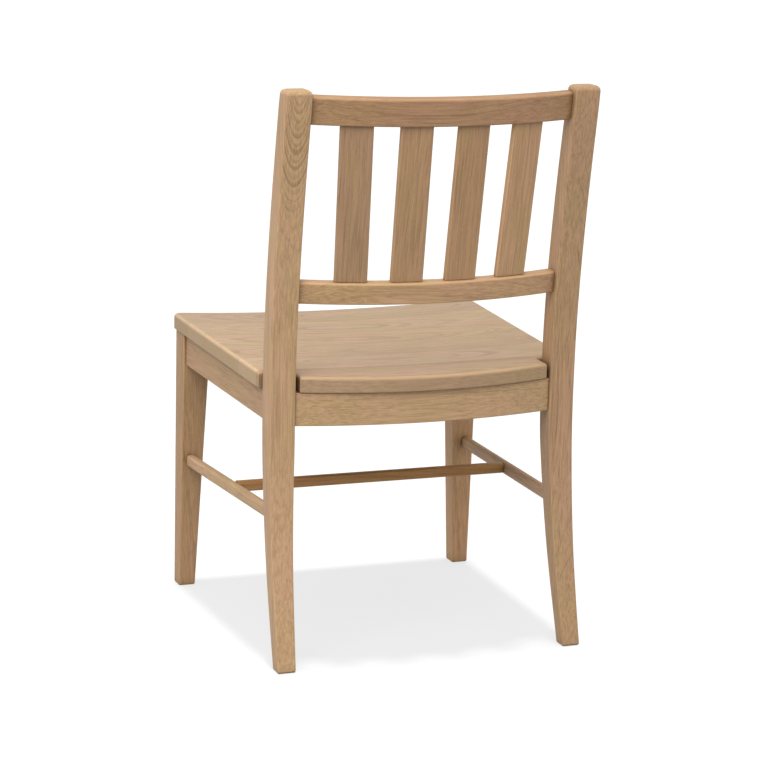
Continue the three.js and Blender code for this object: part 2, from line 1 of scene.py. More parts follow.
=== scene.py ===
"""The dining chair's visual model: rounded wooden pieces over the CAD frame, on a plain pale floor.

Metres, in the CAD's frame: +Z up, the sitter faces -Y, +X is the sitter's left.
"""
import math

import bmesh
import bpy
import numpy as np
from mathutils import Matrix, Vector
from mathutils.bvhtree import BVHTree
from mathutils.geometry import delaunay_2d_cdt


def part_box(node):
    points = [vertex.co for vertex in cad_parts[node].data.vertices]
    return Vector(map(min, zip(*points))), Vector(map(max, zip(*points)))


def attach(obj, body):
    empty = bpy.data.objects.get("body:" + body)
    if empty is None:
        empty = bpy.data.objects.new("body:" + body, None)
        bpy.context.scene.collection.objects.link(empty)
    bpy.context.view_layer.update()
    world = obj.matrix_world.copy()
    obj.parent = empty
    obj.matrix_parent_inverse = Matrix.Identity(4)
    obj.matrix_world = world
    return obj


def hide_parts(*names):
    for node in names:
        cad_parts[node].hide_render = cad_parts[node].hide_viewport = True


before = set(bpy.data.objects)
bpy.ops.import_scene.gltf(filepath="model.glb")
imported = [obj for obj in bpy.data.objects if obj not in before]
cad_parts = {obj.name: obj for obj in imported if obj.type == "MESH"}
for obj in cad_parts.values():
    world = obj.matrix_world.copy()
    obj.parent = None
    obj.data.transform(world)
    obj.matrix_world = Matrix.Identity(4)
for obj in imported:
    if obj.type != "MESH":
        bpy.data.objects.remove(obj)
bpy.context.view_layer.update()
MM = 0.001

X, Y, Z = Vector((1, 0, 0)), Vector((0, 1, 0)), Vector((0, 0, 1))
BACK_RUN, BACK_RISE = 39.9, 270.5      # the lean of the slats and rails, as in the CAD
BACK_RAKE = math.atan2(BACK_RUN, BACK_RISE)
UP = Vector((0, math.sin(BACK_RAKE), math.cos(BACK_RAKE)))
BEHIND = Vector((0, math.cos(BACK_RAKE), -math.sin(BACK_RAKE)))
SEAT_FALL = 0.032                      # drop of the seat per unit towards the back, as in the CAD


def mixed(a, b, t):
    return a + (b - a) * t


# ---------------------------------------------------------------- reading the CAD


class Node:
    """A CAD node's edges. Planes cut them, which reads the node's outer section at any place."""

    SKIN = 0.02 * MM                   # how far inside a node's ends it is read
    NUDGE = 0.0003 * MM                # keeps a cut off the vertices
    FULL = 0.9                         # a section with this share of the full girth is no tenon
    SAMPLES = (0.3, 0.5, 0.7)          # where along the node the full girth is read

    def __init__(self, name):
        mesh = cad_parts[name].data
        self.co = np.array([v.co for v in mesh.vertices], float)
        self.edges = np.array([e.vertices[:] for e in mesh.edges], int)

    def section(self, place, axes):
        """The four outer corners of the cut at `place` along axes[0], or None where it misses."""
        along, across, deep = (np.array(a) for a in axes)
        ends = self.co[self.edges]
        s = ends @ along - place - self.NUDGE
        hit = s[:, 0] * s[:, 1] < 0
        if hit.sum() < 4:
            return None
        t = (s[hit, 0] / (s[hit, 0] - s[hit, 1]))[:, None]
        p = ends[hit, 0] * (1 - t) + ends[hit, 1] * t
        a, b = p @ across, p @ deep
        picks = [np.argmin(a + b), np.argmax(a - b), np.argmax(a + b), np.argmin(a - b)]
        return [Vector(p[i]) for i in picks]

    def span(self, axes, tenons):
        """Where the node starts and ends along axes[0], without its tenons if it has any."""
        s = self.co @ np.array(axes[0])
        low, high = s.min(), s.max()
        if not tenons:
            return low, high

        def girth(place):
            ring = self.section(place, axes)
            return (ring[1] - ring[0]).length + (ring[3] - ring[0]).length if ring else 0

        full = max(girth(mixed(low, high, t)) for t in self.SAMPLES)
        places = [p for p in np.unique(np.round(s, 6))
                  if max(girth(p - self.SKIN), girth(p + self.SKIN)) > self.FULL * full]
        return min(places), max(places)


# ---------------------------------------------------------------- meshes

CORNER_STEPS = 5
LEAST_ROUND = 0.35                     # the share of its radius that an inset corner keeps
SHARP_ANGLE = math.radians(50)


def quarter_turn(steps):
    """The angles that divide a quarter turn into equal steps, both ends included."""
    return [k / steps * math.pi / 2 for k in range(steps + 1)]


def rounded_ring(corners, radii, inset):
    """A ring with its four corners rounded, and how near each point is to the middle of an arris.
    `inset` draws the whole ring in."""
    points, arris = [], []
    for i, corner in enumerate(corners):
        back = (corners[i - 1] - corner).normalized()
        ahead = (corners[(i + 1) % 4] - corner).normalized()
        radius = max(radii[i] - inset, radii[i] * LEAST_ROUND)
        centre = corner + (back + ahead) * (inset + radius)
        for turn in quarter_turn(CORNER_STEPS):
            points.append(centre - (ahead * math.cos(turn) + back * math.sin(turn)) * radius)
            arris.append(math.sin(2 * turn))
    return points, arris


def loft(rings):
    """Vertices and faces of a closed solid through rings of equal length."""
    count = len(rings[0])
    faces = [tuple(reversed(range(count)))]
    for r in range(len(rings) - 1):
        for i in range(count):
            j = (i + 1) % count
            faces.append((r * count + i, r * count + j, (r + 1) * count + j, (r + 1) * count + i))
    last = (len(rings) - 1) * count
    faces.append(tuple(range(last, last + count)))
    return [p for ring in rings for p in ring], faces


def piece_from(name, mesh, material, nodes):
    """A visual piece that rides on the chair and replaces the CAD nodes given."""
    mesh.shade_smooth()
    mesh.set_sharp_from_angle(angle=SHARP_ANGLE)
    mesh.materials.clear()
    mesh.materials.append(material)
    piece = bpy.data.objects.new(name, mesh)
    bpy.context.scene.collection.objects.link(piece)
    weighted = piece.modifiers.new("weighted normals", "WEIGHTED_NORMAL")
    weighted.keep_sharp = True
    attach(piece, "root")
    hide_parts(*nodes)
    return piece


def mesh_from(name, verts, faces, arris):
    """A mesh whose points carry how near each is to the middle of an arris, for its wood."""
    mesh = bpy.data.meshes.new(name)
    mesh.from_pydata([tuple(v) for v in verts], [], faces)
    shell = bmesh.new()
    shell.from_mesh(mesh)
    bmesh.ops.recalc_face_normals(shell, faces=shell.faces)
    shell.to_mesh(mesh)
    shell.free()
    layer = mesh.attributes.new("arris", "FLOAT", "POINT")
    layer.data.foreach_set("value", [float(a) for a in arris])
    return mesh


def rounded_end(edge, run, inset):
    """Places, insets and nearness to the arris over the rounding of a bar's end, from its side out."""
    steps = max(2, round(inset / MM) + 2)
    return [(edge + run * math.sin(turn), inset * (1 - math.cos(turn)), math.sin(2 * turn))
            for turn in quarter_turn(steps)[1:]]


def bar(name, axes, radii, material, stations=1, tenons=True, ends=((0.5, 0.5), (0.5, 0.5)),
        end_slope=0):
    """A rounded bar over a CAD node's own sections. `ends` gives each end's rounding: its length
    along the bar and its inset, in millimetres. `end_slope` tilts the last face towards the back."""
    node = Node(name)
    along = axes[0]
    low, high = node.span(axes, tenons)
    radii = [r * MM for r in radii]
    (low_run, low_inset), (high_run, high_inset) = [(a * MM, b * MM) for a, b in ends]
    first, last = low + low_run, high - high_run
    stops = rounded_end(first, -low_run, low_inset)[::-1]
    stops += [(mixed(first, last, k / stations), 0, 0) for k in range(stations + 1)]
    stops += rounded_end(last, high_run, high_inset)
    rings, arris = [], []
    for place, inset, near in stops:
        cut = min(max(place, first + node.SKIN), last - node.SKIN)
        ring, round_it = rounded_ring(node.section(cut, axes), radii, inset)
        ring = [p + along * (place - p.dot(along)) for p in ring]
        if place >= last:
            far = max(p.y for p in ring)
            ring = [p + along * (far - p.y) * end_slope for p in ring]
        rings.append(ring)
        arris += [max(a, near) for a in round_it]
    return piece_from(name, mesh_from(name, *loft(rings), arris), material, [name])


# ---------------------------------------------------------------- wood


class Graph:
    """Shorthand for building shader nodes."""

    def __init__(self, tree):
        self.tree = tree

    def node(self, kind, **settings):
        made = self.tree.nodes.new(kind)
        for key, value in settings.items():
            setattr(made, key, value)
        return made

    def feed(self, socket, value):
        if isinstance(value, bpy.types.NodeSocket):
            self.tree.links.new(value, socket)
        else:
            socket.default_value = value

    def math(self, operation, *values, clamp=False):
        made = self.node("ShaderNodeMath", operation=operation, use_clamp=clamp)
        for socket, value in zip(made.inputs, values):
            self.feed(socket, value)
        return made.outputs[0]

    def plus(self, total, value, share):
        """total + value * share"""
        return self.math("ADD", total, self.math("MULTIPLY", value, share))

    def vector(self, operation, *values):
        made = self.node("ShaderNodeVectorMath", operation=operation)
        for socket, value in zip(made.inputs, values):
            self.feed(socket, value)
        return made.outputs["Value" if operation in ("LENGTH", "DOT_PRODUCT") else "Vector"]

    def noise(self, vector, scale, detail=2.0, rough=0.5, colour=False):
        """Noise with its own stretch on each axis; `scale` is features per metre."""
        made = self.node("ShaderNodeTexNoise", noise_dimensions="3D")
        self.feed(made.inputs["Vector"], self.vector("MULTIPLY", vector, scale))
        made.inputs["Scale"].default_value = 1.0
        made.inputs["Detail"].default_value = detail
        made.inputs["Roughness"].default_value = rough
        return made.outputs["Color" if colour else "Fac"]

    def ramp(self, value, low, high, to_low=0.0, to_high=1.0):
        made = self.node("ShaderNodeMapRange", interpolation_type="SMOOTHSTEP")
        for socket, given in zip(made.inputs, (value, low, high, to_low, to_high)):
            self.feed(socket, given)
        return made.outputs[0]

    def mix(self, share, a, b, kind="MIX"):
        made = self.node("ShaderNodeMix", data_type="RGBA", blend_type=kind, clamp_factor=True)
        self.feed(made.inputs[0], share)
        self.feed(made.inputs[6], a)
        self.feed(made.inputs[7], b)
        return made.outputs[2]


GROUP_INPUTS = {
    "Place": ("NodeSocketVector", (0, 0, 0)),      # in the log: x and y across it, z along it
    "Grain": ("NodeSocketVector", (0, 0, 1)),      # the way the grain runs, in the chair's frame
    "Light": ("NodeSocketColor", (0.5, 0.35, 0.2, 1)),
    "Dark": ("NodeSocketColor", (0.3, 0.2, 0.1, 1)),
    "Rings": ("NodeSocketFloat", 400.0),           # per metre
    "Wander": ("NodeSocketFloat", 1.0),            # how unevenly they run
    "Figure": ("NodeSocketFloat", 0.5),            # how strongly they show
    "Fade": ("NodeSocketFloat", -10.0),            # below this place along the log they grow faint
    "Streaks": ("NodeSocketFloat", 0.5),
    "Pores": ("NodeSocketFloat", 0.5),
    "Blotch": ("NodeSocketFloat", 0.5),
    "Flecks": ("NodeSocketFloat", 0.2),
    "Edge": ("NodeSocketFloat", 0.3),              # how much lighter the arrises are painted, a painted highlight
    "Painted_shade": ("NodeSocketFloat", 0.6),           # how much painted shade darkens the joints, corners and recesses
}


NOISE_MIDDLE = (0.5, 0.5, 0.5)
LOG_WANDER = (0.02, 0.02, 0)           # how far a log's rings stray across it, in metres
LOG_RIPPLE = (0.0022, 0.0022, 0)
RING_SPREAD = 2.5                      # years by which the widths of the rings vary
LINE_OFFSET = (0.7, 0.2, 0.4)          # keeps the dark lines and the hue off the other noises
HUE_OFFSET = (3.1, 1.7, 0.9)
COOL_TINT, WARM_TINT = (0.98, 1.0, 0.93, 1), (1.03, 0.985, 1.03, 1)
END_GRAIN, END_GRAIN_SHARE = (0.36, 0.24, 0.10, 1), 0.3
# painted highlight: the tint that lightens the rounded arrises
PAINTED_HIGHLIGHT_TINT = (1.45, 1.42, 1.36, 1)
# painted shade: the tint and reach of the darkening in joints, corners and recesses
PAINTED_SHADE_TINT = (0.30, 0.22, 0.15, 1)
PAINTED_SHADE_REACH = 26 * MM
ROUGHNESS = 0.55


def growth_rings(g, given):
    """The place in the log after its bends, how far through its year a point is, and its late wood."""
    place = given["Place"]
    wander = g.vector("SUBTRACT", g.noise(place, (5, 5, 2.2), 1.0, colour=True), NOISE_MIDDLE)
    ripple = g.vector("SUBTRACT", g.noise(place, (38, 38, 14), 2.0, colour=True), NOISE_MIDDLE)
    bend = g.vector("ADD", g.vector("MULTIPLY", wander, LOG_WANDER), g.vector("MULTIPLY", ripple, LOG_RIPPLE))
    scaled = g.node("ShaderNodeVectorMath", operation="SCALE")
    g.feed(scaled.inputs[0], bend)
    g.feed(scaled.inputs["Scale"], given["Wander"])
    bent = g.vector("ADD", place, scaled.outputs["Vector"])
    radius = g.vector("LENGTH", g.vector("MULTIPLY", bent, (1, 1, 0)))
    spacing = g.node("ShaderNodeTexNoise", noise_dimensions="1D")
    g.feed(spacing.inputs["W"], g.math("MULTIPLY", radius, 90.0))
    uneven = g.math("MULTIPLY", given["Wander"], RING_SPREAD)
    count = g.plus(g.math("MULTIPLY", radius, given["Rings"]), spacing.outputs["Fac"], uneven)
    phase = g.math("FRACT", count)
    year = g.node("ShaderNodeTexWhiteNoise", noise_dimensions="1D")
    g.feed(year.inputs["W"], g.math("FLOOR", count))
    late = g.math("MULTIPLY", g.ramp(phase, 0.25, 0.86), g.ramp(phase, 0.9, 1.0, 1.0, 0.0))
    late = g.math("MULTIPLY", late, g.ramp(year.outputs["Value"], 0.0, 1.0, 0.35, 1.0))
    return bent, phase, late


def fibres(g, bent, phase):
    """Coarse and fine fibres, dark lines, and the pores of the early wood."""
    coarse = g.noise(bent, (420, 420, 9), 3.0, 0.6)
    fine = g.noise(bent, (1500, 1500, 45), 3.0, 0.6)
    lines = g.ramp(g.noise(g.vector("ADD", bent, LINE_OFFSET), (620, 620, 13), 2.0, 0.5), 0.56, 0.68)
    pore = g.node("ShaderNodeTexVoronoi", feature="F1")
    g.feed(pore.inputs["Vector"], g.vector("MULTIPLY", bent, (1300, 1300, 75)))
    pore.inputs["Scale"].default_value = 1.0
    pores = g.ramp(pore.outputs["Distance"], 0.14, 0.34, 1.0, 0.0)
    pores = g.math("MULTIPLY", pores, g.ramp(phase, 0.05, 0.5, 1.0, 0.35))
    return coarse, fine, lines, pores


def end_grain_and_painted_light(g, given, colour, patch, arris):
    """The colour with darker end grain, a painted highlight that lightens the arrises, and painted shade that
    darkens the joints, corners and recesses.
    """
    facing = g.node("ShaderNodeNewGeometry").outputs["Normal"]
    end = g.ramp(g.math("ABSOLUTE", g.vector("DOT_PRODUCT", facing, given["Grain"])), 0.75, 0.97)
    colour = g.mix(g.math("MULTIPLY", end, END_GRAIN_SHARE), colour, END_GRAIN)
    # painted highlight: the rounded arrises are lightened, as a shine along them would light them
    painted_highlight = g.math("MULTIPLY", g.math("MULTIPLY", arris, given["Edge"]), g.ramp(patch, 0.2, 0.7, 0.6, 1.0))
    colour = g.mix(painted_highlight, colour, g.mix(1.0, given["Light"], PAINTED_HIGHLIGHT_TINT, "MULTIPLY"))
    # painted shade: an occlusion test darkens the colour wherever other surfaces are near, in joints, corners
    # and recesses
    near = g.node("ShaderNodeAmbientOcclusion", samples=8)
    near.inputs["Distance"].default_value = PAINTED_SHADE_REACH
    painted_shade = g.math("MULTIPLY", g.ramp(near.outputs["AO"], 0.15, 0.92, 1.0, 0.0), given["Painted_shade"])
    return g.mix(painted_shade, colour, g.mix(1.0, colour, PAINTED_SHADE_TINT, "MULTIPLY"))


def wood_group():
    """The node group that all the wood shares: solid, so that the grain runs through each piece."""
    tree = bpy.data.node_groups.new("solid wood", "ShaderNodeTree")
    for name, (kind, value) in GROUP_INPUTS.items():
        tree.interface.new_socket(name, in_out="INPUT", socket_type=kind).default_value = value
    for name, kind in (("Color", "NodeSocketColor"), ("Roughness", "NodeSocketFloat"),
                       ("Height", "NodeSocketFloat")):
        tree.interface.new_socket(name, in_out="OUTPUT", socket_type=kind)
    g = Graph(tree)
    given = g.node("NodeGroupInput").outputs
    place = given["Place"]

    bent, phase, late = growth_rings(g, given)
    coarse, fine, lines, pores = fibres(g, bent, phase)
    patch = g.noise(place, (16, 16, 5), 3.0, 0.55)
    hue = g.noise(g.vector("ADD", place, HUE_OFFSET), (22, 22, 7), 2.0)
    fleck = g.ramp(g.noise(place, (260, 620, 150), 1.0), 0.62, 0.74)
    along = g.node("ShaderNodeSeparateXYZ")
    g.feed(along.inputs[0], place)
    faint = g.ramp(g.math("SUBTRACT", along.outputs["Z"], given["Fade"]), -0.03, 0.03, 0.2, 1.0)

    shade = g.math("MULTIPLY", late, g.math("MULTIPLY", given["Figure"], faint))
    shade = g.plus(shade, g.ramp(coarse, 0.35, 0.68), given["Streaks"])
    shade = g.plus(shade, lines, g.math("MULTIPLY", given["Streaks"], 0.7))
    shade = g.plus(shade, g.math("SUBTRACT", fine, 0.5), 0.35)
    shade = g.plus(shade, g.math("SUBTRACT", patch, 0.5), given["Blotch"])
    shade = g.plus(shade, pores, given["Pores"])
    shade = g.math("SUBTRACT", shade, g.math("MULTIPLY", fleck, given["Flecks"]), clamp=True)
    colour = g.mix(shade, given["Light"], given["Dark"])
    colour = g.mix(1.0, colour, g.mix(g.ramp(hue, 0.35, 0.65), COOL_TINT, WARM_TINT), "MULTIPLY")
    arris = g.node("ShaderNodeAttribute", attribute_name="arris").outputs["Fac"]
    # darker end grain, then a painted highlight on the arrises and painted shade in the recesses
    colour = end_grain_and_painted_light(g, given, colour, patch, arris)

    rough = g.plus(ROUGHNESS, g.math("SUBTRACT", fine, 0.5), 0.25)
    rough = g.plus(rough, pores, 0.18)
    rough = g.math("SUBTRACT", rough, g.math("MULTIPLY", arris, 0.06))
    height = g.plus(g.math("MULTIPLY", coarse, 0.35), fine, 0.3)
    height = g.math("SUBTRACT", height, g.math("MULTIPLY", pores, 0.5))
    height = g.plus(height, late, 0.25)
    out = g.node("NodeGroupOutput")
    for name, value in (("Color", colour), ("Roughness", rough), ("Height", height)):
        g.feed(out.inputs[name], value)
    return tree


WOOD = wood_group()
BUMP_STRENGTH, BUMP_HEIGHT = 0.35, 0.25 * MM
SPECULAR = 0.3


def wood(name, light, dark, grain=Z, pith=(0, 0, 0), lean=(0, 0), **amounts):
    """A wood material. The log's pith runs through `pith` along `grain`, tilted by `lean`."""
    material = bpy.data.materials.new(name)
    material.use_nodes = True
    g = Graph(material.node_tree)
    shader = material.node_tree.nodes["Principled BSDF"]
    along = Vector(grain).normalized()
    side = along.cross(Y if abs(along.y) < 0.9 else Z).normalized()
    deep = along.cross(side)
    axis = (along + side * lean[0] + deep * lean[1]).normalized()
    side = (side - axis * side.dot(axis)).normalized()
    turn = Matrix((side, axis.cross(side), axis))
    where = g.node("ShaderNodeMapping", vector_type="POINT")
    g.feed(where.inputs["Vector"], g.node("ShaderNodeTexCoord").outputs["Object"])
    where.inputs["Rotation"].default_value = turn.to_euler("XYZ")
    where.inputs["Location"].default_value = turn @ -Vector(pith)
    group = g.node("ShaderNodeGroup", node_tree=WOOD)
    g.feed(group.inputs["Place"], where.outputs["Vector"])
    group.inputs["Grain"].default_value = along
    group.inputs["Light"].default_value = (*light, 1)
    group.inputs["Dark"].default_value = (*dark, 1)
    for key, value in amounts.items():
        group.inputs[key.capitalize()].default_value = value
    bump = g.node("ShaderNodeBump")
    bump.inputs["Strength"].default_value = BUMP_STRENGTH
    bump.inputs["Distance"].default_value = BUMP_HEIGHT
    g.feed(bump.inputs["Height"], group.outputs["Height"])
    g.feed(shader.inputs["Base Color"], group.outputs["Color"])
    g.feed(shader.inputs["Roughness"], group.outputs["Roughness"])
    g.feed(shader.inputs["Normal"], bump.outputs["Normal"])
    shader.inputs["Specular IOR Level"].default_value = SPECULAR
    return material


# ---------------------------------------------------------------- pieces

UPRIGHT = (Z, X, Y)
RAIL = (X, BEHIND, UP)
CROSSWISE = (X, Y, Z)
LENGTHWISE = (Y, X, Z)
SLAT = (UP, X, BEHIND)

# the light colour of each piece's wood
TONES = {
    "rear_post_left": (0.512, 0.323, 0.175),
    "rear_post_right": (0.442, 0.275, 0.148),
    "front_leg_left": (0.439, 0.266, 0.133),
    "front_leg_right": (0.543, 0.321, 0.154),
    "side_apron_left": (0.485, 0.295, 0.155),
    "side_apron_right": (0.485, 0.295, 0.155),
    "side_stretcher_left": (0.534, 0.345, 0.186),
    "side_stretcher_right": (0.503, 0.319, 0.170),
    "crest_rail": (0.399, 0.231, 0.121),
    "lower_back_rail": (0.523, 0.325, 0.171),
    "back_slat_1": (0.385, 0.237, 0.129),
    "back_slat_2": (0.420, 0.251, 0.131),
    "back_slat_3": (0.415, 0.254, 0.123),
    "back_slat_4": (0.502, 0.308, 0.159),
    "rear_apron": (0.508, 0.329, 0.175),
    "front_apron": (0.508, 0.329, 0.175),
    "cross_stretcher": (0.423, 0.220, 0.072),
    "seat_stave_1": (0.417, 0.297, 0.180),
    "seat_stave_2": (0.454, 0.321, 0.195),
    "seat_stave_3": (0.469, 0.323, 0.197),
    "seat_stave_4": (0.461, 0.323, 0.191),
    "seat_stave_5": (0.503, 0.351, 0.216),
    "seat_stave_6": (0.404, 0.268, 0.156),
}

DARK_TINT = (1.0, 0.96, 0.9)           # the dark wood is a little warmer than the light wood


def toned(name, dark=0.6):
    """A piece's light and dark colours."""
    rgb = TONES[name]
    return rgb, tuple(c * dark * f for c, f in zip(rgb, DARK_TINT))


POST_X = (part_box("rear_post_left")[0].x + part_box("rear_post_left")[1].x) / 2
LEG_X = (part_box("front_leg_left")[0].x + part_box("front_leg_left")[1].x) / 2

# the left post's pith runs just behind its back face, which gives it arched rings at the top
POST_LOGS = {
    "left": {"pith": (POST_X, 0.264, 0.78), "lean": (0.0, 0.0), "rings": 500.0, "figure": 0.8,
             "wander": 0.3, "edge": 0.15, "fade": -0.09},
    "right": {"pith": (-POST_X - 0.045, 0.30, 0.7), "lean": (0.02, 0.02), "rings": 620.0, "figure": 0.35,
              "wander": 0.6, "edge": 0.08},
}

for side, sign in (("left", 1), ("right", -1)):
    oak = wood("post_" + side, *toned("rear_post_" + side), grain=Z, streaks=0.55, **POST_LOGS[side])
    bar("rear_post_" + side, UPRIGHT, (3, 3, 3, 3), oak, stations=44, tenons=False,
        ends=((4, 3.5), (8.5, 9)))
    oak = wood("leg_" + side, *toned("front_leg_" + side), grain=Z,
               pith=(sign * LEG_X + 0.05, -0.30, 0.2), lean=(0.01, 0.02), rings=480.0, edge=0.3)
    bar("front_leg_" + side, UPRIGHT, (3, 3, 3, 3), oak, stations=12, tenons=False,
        ends=((4, 3.5), (1.6, 0.2)), end_slope=SEAT_FALL)
    oak = wood("side_apron_" + side, *toned("side_apron_" + side), grain=Y,
               pith=(sign * 0.29, 0, 0.33), rings=350.0)
    bar("side_apron_" + side, LENGTHWISE, (2, 2, 1, 1), oak, stations=8)
    oak = wood("side_stretcher_" + side, *toned("side_stretcher_" + side), grain=Y,
               pith=(sign * 0.20, 0, 0.25), rings=400.0, edge=0.0)
    bar("side_stretcher_" + side, LENGTHWISE, (5.5, 5.5, 6, 6), oak, stations=8,
        ends=((4, 4), (4, 4)))

oak = wood("crest", *toned("crest_rail"), grain=X, pith=(0, 0.19, 0.79), lean=(0.0, 0.012),
           rings=420.0, figure=0.5, flecks=0.35, edge=0.4)
bar("crest_rail", RAIL, (3, 3, 4.5, 5), oak, stations=36)
oak = wood("lower_rail", *toned("lower_back_rail"), grain=X, pith=(0.1, 0.25, 0.52), lean=(0.03, 0.02),
           rings=330.0, figure=0.6, edge=0.4)
bar("lower_back_rail", RAIL, (2.5, 2.5, 3.5, 3.5), oak, stations=36)
for n in range(1, 5):
    low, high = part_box("back_slat_%d" % n)
    oak = wood("slat_%d" % n, *toned("back_slat_%d" % n), grain=UP,
               pith=((low.x + high.x) / 2 + 0.06 * (n - 2.5), 0.13 + 0.02 * n, 0.7),
               lean=(0.01 * (n - 2), 0.01), rings=520.0, figure=0.4, streaks=0.5, edge=0.3)
    bar("back_slat_%d" % n, SLAT, (2, 2, 2, 2), oak, stations=6)

oak = wood("rear_apron", *toned("rear_apron"), grain=X, pith=(0, 0.23, 0.22), lean=(0.0, 0.008),
           rings=330.0, wander=0.5, figure=0.4, edge=0.25)
bar("rear_apron", CROSSWISE, (2, 2, 1.5, 1), oak, stations=36)
oak = wood("front_apron", *toned("front_apron"), grain=X, pith=(0, -0.2, 0.36), rings=300.0)
bar("front_apron", CROSSWISE, (2, 2, 1, 1), oak, stations=4)
oak = wood("cross_stretcher", *toned("cross_stretcher"), grain=X, pith=(0, 0.02, 0.24), lean=(0.05, 0.02),
           rings=420.0, edge=0.1)
bar("cross_stretcher", CROSSWISE, (4, 4, 4, 4), oak, stations=8, ends=((1, 1), (1, 1)))


# ---------------------------------------------------------------- seat

STAVES = ["seat_stave_%d" % n for n in range(1, 7)]
STAVE_DARK = 0.72
SEAT_TOP_ROUND = 5.5 * MM
SEAT_LOW_ROUND = 2.5 * MM
SEAT_TOP_STEPS, SEAT_LOW_STEPS = 7, 4
SEAT_GRID = 14 * MM
GRID_CLEARANCE = 0.55 * SEAT_GRID      # from the grid's points to the border
SEAT_RIM_STEP = 24 * MM
UPRIGHT_WITHIN = 0.01 * MM             # how far an upright edge of a stave may lean
UPRIGHT_LENGTH = 15 * MM               # and how long it is at least
SAME_CORNER = 0.6 * MM                 # corners nearer to each other than this are one
MITRE_LIMIT = 0.4
TOLERANCE = 1e-7


def seat_outline():
    """The seat's plan, anticlockwise from above, read from the upright edges of the CAD staves."""
    half = set()
    for name in STAVES:
        node = Node(name)
        for a, b in node.co[node.edges]:
            lean = abs(a[0] - b[0]) + abs(a[1] - b[1])
            if lean < UPRIGHT_WITHIN and abs(a[2] - b[2]) > UPRIGHT_LENGTH:
                half.add((round(float(a[0]), 6), round(float(a[1]), 6)))
    half = sorted((p for p in half if p[0] > -MM), key=lambda p: (round(p[1], 4), -p[0]))
    kept = [half[0]]
    for p in half[1:]:
        if math.dist(p, kept[-1]) > SAME_CORNER:
            kept.append(p)
    right = [p for p in kept if p[0] > MM]
    middle = [p for p in kept if p[0] <= MM]
    corners = right + middle[-1:] + [(-x, y) for x, y in reversed(right)]
    outline = []
    for a, b in zip(corners, corners[1:] + corners[:1]):
        parts = max(1, round(math.dist(a, b) / SEAT_RIM_STEP))
        outline += [(mixed(a[0], b[0], k / parts), mixed(a[1], b[1], k / parts)) for k in range(parts)]
    return outline


def shrunk(outline, inset):
    """The outline moved inwards by `inset`, with its corners mitred."""
    made = []
    for i, p in enumerate(outline):
        p = Vector(p)
        back = (p - Vector(outline[i - 1])).normalized()
        ahead = (Vector(outline[(i + 1) % len(outline)]) - p).normalized()
        left_back, left_ahead = Vector((-back.y, back.x)), Vector((-ahead.y, ahead.x))
        bisector = (left_back + left_ahead).normalized()
        made.append(p + bisector * inset / max(bisector.dot(left_back), MITRE_LIMIT))
    return made


class SeatSurface:
    """Heights of the CAD seat, read by upright rays."""

    INWARDS = 0.999                    # keeps a ray off the staves' very ends

    def __init__(self):
        graph = bpy.context.evaluated_depsgraph_get()
        self.trees = [BVHTree.FromObject(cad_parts[name], graph) for name in STAVES]

    def heights(self, x, y, start, way):
        """Where the rays hit. In a gap between two staves, those a millimetre away count instead."""
        found = []
        for dy in (0, MM, -MM):
            for tree in self.trees:
                hit = tree.ray_cast(Vector((x * self.INWARDS, y + dy, start)), way)[0]
                if hit:
                    found.append(hit.z)
            if found:
                break
        return found

    def top(self, x, y):
        return max(self.heights(x, y, 1, -Z))

    def underside(self, x, y):
        return min(self.heights(x, y, 0, Z))


def grid_inside(border):
    """The points of a square grid over the seat's flat part that aren't close to its border."""
    low = Vector((min(p.x for p in border), min(p.y for p in border)))
    high = Vector((max(p.x for p in border), max(p.y for p in border)))
    across, deep = int((high.x - low.x) / SEAT_GRID), int((high.y - low.y) / SEAT_GRID)
    grid = [Vector((mixed(low.x, high.x, i / across), mixed(low.y, high.y, j / deep)))
            for i in range(1, across) for j in range(1, deep)]
    return [q for q in grid if all((q - p).length > GRID_CLEARANCE for p in border)]


def seat_panel():
    """The whole seat as one dished panel with rounded edges: its rim is lofted from the underside up."""
    outline = seat_outline()
    surface = SeatSurface()
    middle = surface.underside(0, 0)
    tops = [surface.top(p.x, p.y) for p in shrunk(outline, SEAT_TOP_ROUND)]
    rings, arris = [], []
    for turn in reversed(quarter_turn(SEAT_LOW_STEPS)):
        ring = shrunk(outline, SEAT_LOW_ROUND * (1 - math.cos(turn)))
        rings.append([Vector((p.x, p.y, middle - SEAT_FALL * p.y + SEAT_LOW_ROUND * (1 - math.sin(turn))))
                      for p in ring])
        arris += [math.sin(2 * turn) * 0.5] * len(ring)
    for turn in quarter_turn(SEAT_TOP_STEPS):
        ring = shrunk(outline, SEAT_TOP_ROUND * (1 - math.cos(turn)))
        rings.append([Vector((p.x, p.y, top - SEAT_TOP_ROUND * (1 - math.sin(turn))))
                      for p, top in zip(ring, tops)])
        arris += [math.sin(2 * turn)] * len(ring)
    points, faces = loft(rings)
    faces = faces[:-1]

    # the dished top, over the border and a grid inside it
    border = [p.to_2d() for p in rings[-1]]
    count = len(border)
    start = len(points) - count
    flat, _, triangles, sources, _, _ = delaunay_2d_cdt(
        border + grid_inside(border), [(i, (i + 1) % count) for i in range(count)], [], 1, TOLERANCE)
    index = {}
    used = {i for t in triangles for i in t}
    for i, (p, source) in enumerate(zip(flat, sources)):
        if i not in used:
            continue
        if source and source[0] < count:
            index[i] = start + source[0]
        else:
            index[i] = len(points)
            points.append(Vector((p.x, p.y, surface.top(p.x, p.y))))
            arris.append(0)
    faces += [tuple(index[i] for i in t) for t in triangles]
    return mesh_from("seat_panel", points, faces, arris)


